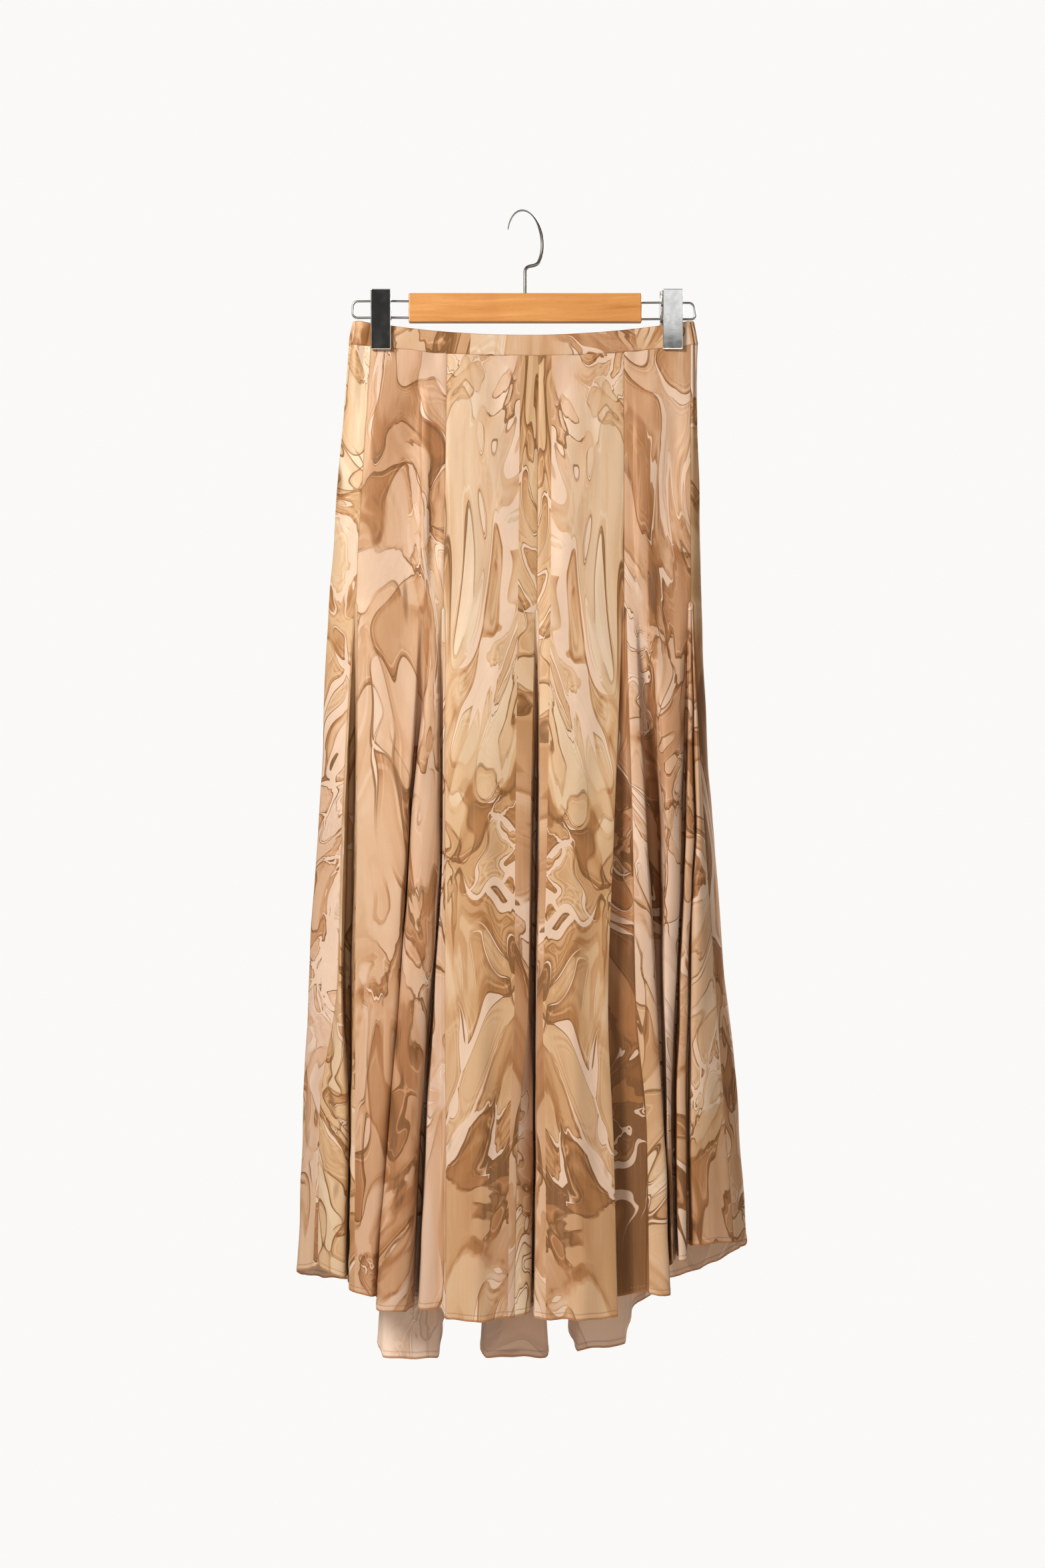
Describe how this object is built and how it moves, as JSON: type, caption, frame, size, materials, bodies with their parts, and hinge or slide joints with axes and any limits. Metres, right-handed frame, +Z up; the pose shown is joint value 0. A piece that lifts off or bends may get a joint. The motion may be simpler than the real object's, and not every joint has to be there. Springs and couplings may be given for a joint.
{
  "type": "maxi skirt on a clip hanger",
  "caption": "Long gored skirt with godets and an elastic back, hanging open from the metal clips of a wooden hanger.",
  "frame": {"origin": "inside of the hook's top, where a rail carries the hanger", "axes": "+Z up, +X along the hanger to the wearer's left as seen from the front, the skirt's front faces -Y"},
  "size_m": [0.4557, 0.1842, 1.1669],
  "materials": {
    "skirt_cloth": "satin weave with a marbled print in tan, cream and brown",
    "band_cloth": "the same satin, doubled",
    "hanger_wood": "lacquered, orange tan",
    "hook_metal": "polished",
    "wire_metal": "polished",
    "clip_metal": "polished, thin pressed edges",
    "spring_metal": "plain spring steel"
  },
  "bodies": {
    "root": {"back_godet_1": "skirt_cloth", "back_godet_2": "skirt_cloth", "back_godet_3": "skirt_cloth", "back_panel_1": "skirt_cloth", "back_panel_2": "skirt_cloth", "back_panel_3": "skirt_cloth", "back_panel_4": "skirt_cloth", "clip_back_left": "clip_metal", "clip_back_right": "clip_metal", "clip_front_left": "clip_metal", "clip_front_right": "clip_metal", "clip_spring_left": "spring_metal", "clip_spring_right": "spring_metal", "front_godet_1": "skirt_cloth", "front_godet_2": "skirt_cloth", "front_godet_3": "skirt_cloth", "front_panel_1": "skirt_cloth", "front_panel_2": "skirt_cloth", "front_panel_3": "skirt_cloth", "front_panel_4": "skirt_cloth", "hanger_bar": "hanger_wood", "hanger_hook": "hook_metal", "hanger_wire_left": "wire_metal", "hanger_wire_right": "wire_metal", "side_godet_left": "skirt_cloth", "side_godet_right": "skirt_cloth", "waistband_back": "band_cloth", "waistband_front": "band_cloth"}
  },
  "joints": []
}
